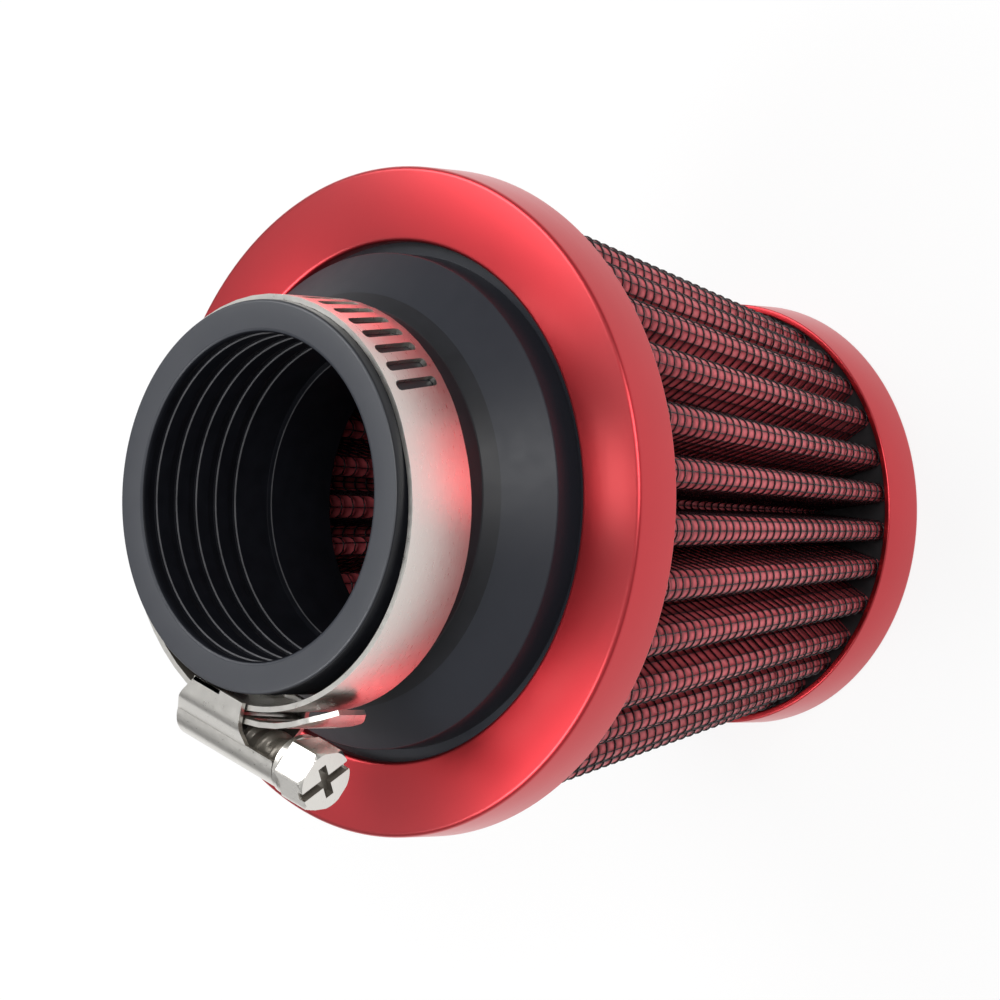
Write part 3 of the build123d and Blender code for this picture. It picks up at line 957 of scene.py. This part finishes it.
class FILTER_OT_housing(bpy.types.Operator):
    """Build the pressed housing that holds the screw"""

    bl_idname = "filter.housing"
    bl_label = "Clamp housing"

    def section(self, clamp, inset):
        """Points (out, up) of the arch from the front foot over the crown to the rear foot."""
        c = clamp.c
        foot = clamp.foot
        half = clamp.half + c.housing_gap + c.housing_wall - inset
        crown = c.crown - inset
        knee = clamp.tail_top + c.wall / 2 + c.housing_gap
        bend, split = 0.9 * MM, 0.02 * MM
        side = [Vector((foot, half)), Vector((knee - bend, half))]
        start, corner, end = side[-1], Vector((knee, half)), Vector((clamp.screw_axis, crown))
        past = corner + (end - corner).normalized() * bend
        for k in (0.25, 0.5, 0.75, 1.0):
            side.append(start.lerp(corner, k).lerp(corner.lerp(past, k), k))
        for x in (clamp.step - split, clamp.step + split):
            side.append(past.lerp(end, (x - past.x) / (end.x - past.x)))
        arc = [pi / 2 * (1 - k / 10) for k in range(11)]
        side += [Vector((clamp.screw_axis + crown * cos(a), crown * sin(a))) for a in arc]
        return side + [Vector((p.x, -p.y)) for p in reversed(side[:-1])]

    def execute(self, context):
        clamp = ClampFrame(context.scene.clamp_sizes)
        c = clamp.c
        inner_edge = clamp.slack_out + (c.loop**2 - (c.tab_half + clamp.slack_along) ** 2) ** 0.5
        clamp.foot = inner_edge - c.housing_wall
        clamp.step = clamp.screw_axis - c.worm_room / 2
        outer, inner = self.section(clamp, 0), self.section(clamp, c.housing_wall)
        rows = 17
        points = []
        for skin in (outer, inner):
            for p in skin:
                front = np.interp(p.x, [clamp.foot, clamp.step], [c.mouth, c.mouth + c.worm_room])
                front = c.housing_front if p.x > clamp.step else front
                rear = np.interp(p.x, [clamp.foot, clamp.screw_axis], [c.leg_start, c.housing_rear])
                points += [clamp.place(p.x, p.y, t) for t in np.linspace(rear, front, rows)]
        across = len(outer)
        shell = grid_quads(across, rows)
        faces = [list(q) for q in shell[:, ::-1]] + [list(q + across * rows) for q in shell]
        rim = [k * rows for k in range(across)]
        rim += [(across - 1) * rows + k for k in range(1, rows)]
        rim += [k * rows + rows - 1 for k in range(across - 2, -1, -1)]
        rim += list(range(rows - 2, 0, -1))
        for a, b in zip(rim, rim[1:] + rim[:1]):
            faces.append([a, b, b + across * rows, a + across * rows])
        tab_wall = c.housing_wall - c.tail_gap
        half = clamp.half + c.housing_gap + c.housing_wall
        for side in (1, -1):
            base = len(points)
            spans = [(clamp.foot, clamp.foot + tab_wall), (side * (half - c.tab_reach), side * half)]
            spans.append((-c.tab_half, c.tab_half))
            corners = [(i, j, k) for i in (0, 1) for j in (0, 1) for k in (0, 1)]
            points += [clamp.place(*[spans[n][corner[n]] for n in range(3)]) for corner in corners]
            block = [(0, 1, 3, 2), (4, 6, 7, 5), (0, 4, 5, 1), (2, 3, 7, 6), (0, 2, 6, 4), (1, 5, 7, 3)]
            faces += [[base + k for k in (f if side < 0 else f[::-1])] for f in block]
        housing = polygon_object("housing", points, faces)
        finish_piece(housing, steel_for(context.scene.filter_colours), ["clamp_housing"])
        eased(housing, 0.1 * MM)
        return {"FINISHED"}


class FILTER_OT_screw(bpy.types.Operator):
    """Build the worm screw with its collar and hex head"""

    bl_idname = "filter.screw"
    bl_label = "Clamp screw"

    def turned_about_screw(self, clamp, name, levels, radius):
        """A closed form round the screw's axis: radius(turn, level) at each level along it."""
        around = 96
        turns = [2 * pi * k / around for k in range(around)]
        points = []
        for level in levels:
            for a in turns:
                r = radius(a, level)
                points.append(clamp.place(clamp.screw_axis + r * cos(a), r * sin(a), level))
        faces = [list(q) for q in grid_quads(len(levels), around, False, True)]
        faces.append(list(range(around)))
        faces.append(list(range(len(points) - 1, len(points) - around - 1, -1)))
        return polygon_object(name, points, faces)

    def cut_recess(self, context, clamp, head, end):
        """Cuts the cross recess into the head's end."""
        c = clamp.c
        along = Vector((cos(c.head_roll), sin(c.head_roll)))
        across = Vector((-along.y, along.x))
        for reach, width in ((c.hex_flats, c.drive_slot / 2), (c.drive_slot / 2, c.drive_cross / 2)):
            points = []
            for level in (end - c.drive_depth, end + c.drive_depth):
                for i, j in ((-1, -1), (1, -1), (1, 1), (-1, 1)):
                    p = along * (i * reach) + across * (j * width)
                    points.append(clamp.place(clamp.screw_axis + p.x, p.y, level))
            block = [(0, 3, 2, 1), (4, 5, 6, 7), (0, 1, 5, 4), (1, 2, 6, 5), (2, 3, 7, 6), (3, 0, 4, 7)]
            cutter = polygon_object("cutter", points, block)
            modifier = head.modifiers.new("recess", "BOOLEAN")
            modifier.operation, modifier.object, modifier.solver = "DIFFERENCE", cutter, "EXACT"
            context.view_layer.update()
            cut = bpy.data.meshes.new_from_object(head.evaluated_get(context.evaluated_depsgraph_get()))
            head.modifiers.clear()
            head.data = cut
            bpy.data.objects.remove(cutter)

    def execute(self, context):
        clamp = ClampFrame(context.scene.clamp_sizes)
        c = clamp.c
        start, thread_end = c.housing_rear + c.housing_wall, c.housing_front + c.collar_gap
        collar_end = thread_end + c.collar_wall
        end = collar_end + c.hex_height
        foot = clamp.place(clamp.screw_axis, 0, 0)
        way = (clamp.place(clamp.screw_axis, 0, end) - foot).normalized()
        # Painted shade on the worm's thread and in the cross recess; the head's end face stays out of it.
        unshaded_end = 0.03 * MM
        painted_shade = near_screw, foot, way, 0.46 * c.hex_flats, end - unshaded_end
        steel = material_named("screw steel", steel_material, context.scene.filter_colours, *painted_shade)
        fade = c.slot_pitch

        def thread(a, level):
            phase = (level / c.slot_pitch - a / (2 * pi)) % 1
            ridge = min(1, max(0, 1.6 - 5.2 * abs(phase - 0.5)))
            ends = min(1, (level - start) / fade, (thread_end - level) / (0.4 * fade))
            return c.worm_core + (c.worm - c.worm_core) * ridge * max(0, ends)

        worm = self.turned_about_screw(clamp, "worm", np.linspace(start, thread_end, 140), thread)
        finish_piece(worm, steel, ["clamp_screw"], SCREW_BODY, 60)
        ease, corner_left, corner_slope = 0.15 * MM, 0.1 * MM, 0.9

        def flange(a, level):
            return c.collar - max(0, ease - min(level - thread_end, collar_end - level))

        levels = [thread_end, thread_end + ease, collar_end - ease, collar_end]
        collar = self.turned_about_screw(clamp, "collar", levels, flange)
        finish_piece(collar, steel, ["clamp_screw"], SCREW_BODY)

        def hexagon(a, level):
            flat = c.hex_flats / 2
            third = pi / 3
            off = (a - c.head_roll + third / 2) % third - third / 2
            return min(flat / cos(off), flat + corner_left + corner_slope * (end - level))

        levels = [collar_end, *[end - k * ease for k in (4, 3, 2, 1, 0)]]
        head = self.turned_about_screw(clamp, "screw_head", levels, hexagon)
        self.cut_recess(context, clamp, head, end)
        finish_piece(head, steel, ["clamp_screw"], SCREW_BODY, 25)
        return {"FINISHED"}


class FILTER_OT_stage(bpy.types.Operator):
    """Set the floor, the lamps and the camera"""

    bl_idname = "filter.stage"
    bl_label = "Stage"

    def execute(self, context):
        scene = context.scene
        settings = scene.filter_stage
        scene.view_settings.view_transform = "Standard"
        white = floor_material(scene.filter_colours)
        half = 3.0
        corners = [(-half, -half, 0), (half, -half, 0), (half, half, 0), (-half, half, 0)]
        ground = mesh_object("floor", corners, [(0, 1, 2, 3)])
        ground.data.materials.append(white)
        scene.world = studio_world(settings)
        target = Vector((0, 0, 0.045))
        for name, place, size, power in (
            ("key_lamp", Vector((0.42, 0.42, 0.68)), 0.46, settings.key),
            ("side_lamp", Vector((-0.34, 0.26, 0.74)), 0.30, settings.side),
            ("fill_lamp", Vector((0.16, -0.42, 0.54)), 0.32, settings.fill),
        ):
            data = bpy.data.lights.new(name, "AREA")
            data.size, data.energy = size, power
            lamp = bpy.data.objects.new(name, data)
            lamp.location = place
            lamp.rotation_euler = (target - place).to_track_quat("-Z", "Y").to_euler()
            scene.collection.objects.link(lamp)
        data = bpy.data.cameras.new("camera")
        data.lens, data.sensor_width = settings.lens, 36
        data.clip_start, data.clip_end = 0.01, 20
        camera = bpy.data.objects.new("camera", data)
        camera.location = (settings.camera_x, settings.camera_y, settings.camera_z)
        tilt = Euler((pi / 2 - settings.elevation, 0, 0)).to_matrix()
        camera.rotation_euler = (tilt @ Matrix.Rotation(settings.roll, 3, "Z")).to_euler()
        scene.collection.objects.link(camera)
        scene.camera = camera
        return {"FINISHED"}


class FILTER_PT_panel(bpy.types.Panel):
    """Build steps and driving sizes in the 3D view's sidebar"""

    bl_label = "Cone air filter"
    bl_space_type = "VIEW_3D"
    bl_region_type = "UI"
    bl_category = "Filter"

    def draw(self, context):
        for operator in OPERATORS:
            self.layout.operator(operator.bl_idname)
        for group in ("filter_sizes", "clamp_sizes", "filter_colours", "filter_stage"):
            owner = getattr(context.scene, group)
            box = self.layout.box()
            for key in type(owner).__annotations__:
                box.prop(owner, key)


OPERATORS = (
    FILTER_OT_boot,
    FILTER_OT_ring,
    FILTER_OT_cotton,
    FILTER_OT_screens,
    FILTER_OT_band,
    FILTER_OT_housing,
    FILTER_OT_screw,
    FILTER_OT_stage,
)
GROUPS = {
    "filter_sizes": FilterSizes,
    "clamp_sizes": ClampSizes,
    "filter_colours": FilterColours,
    "filter_stage": StageSettings,
}


def register():
    for kind in (*GROUPS.values(), *OPERATORS, FILTER_PT_panel):
        bpy.utils.register_class(kind)
    for name, kind in GROUPS.items():
        setattr(bpy.types.Scene, name, bpy.props.PointerProperty(type=kind))


def unregister():
    for name in GROUPS:
        delattr(bpy.types.Scene, name)
    for kind in reversed((*GROUPS.values(), *OPERATORS, FILTER_PT_panel)):
        bpy.utils.unregister_class(kind)


def main():
    register()
    bpy.ops.filter.boot()
    bpy.ops.filter.ring()
    bpy.ops.filter.cotton()
    bpy.ops.filter.screens()
    bpy.ops.filter.band()
    bpy.ops.filter.housing()
    bpy.ops.filter.screw()
    bpy.ops.filter.stage()


if __name__ == "__main__":
    main()
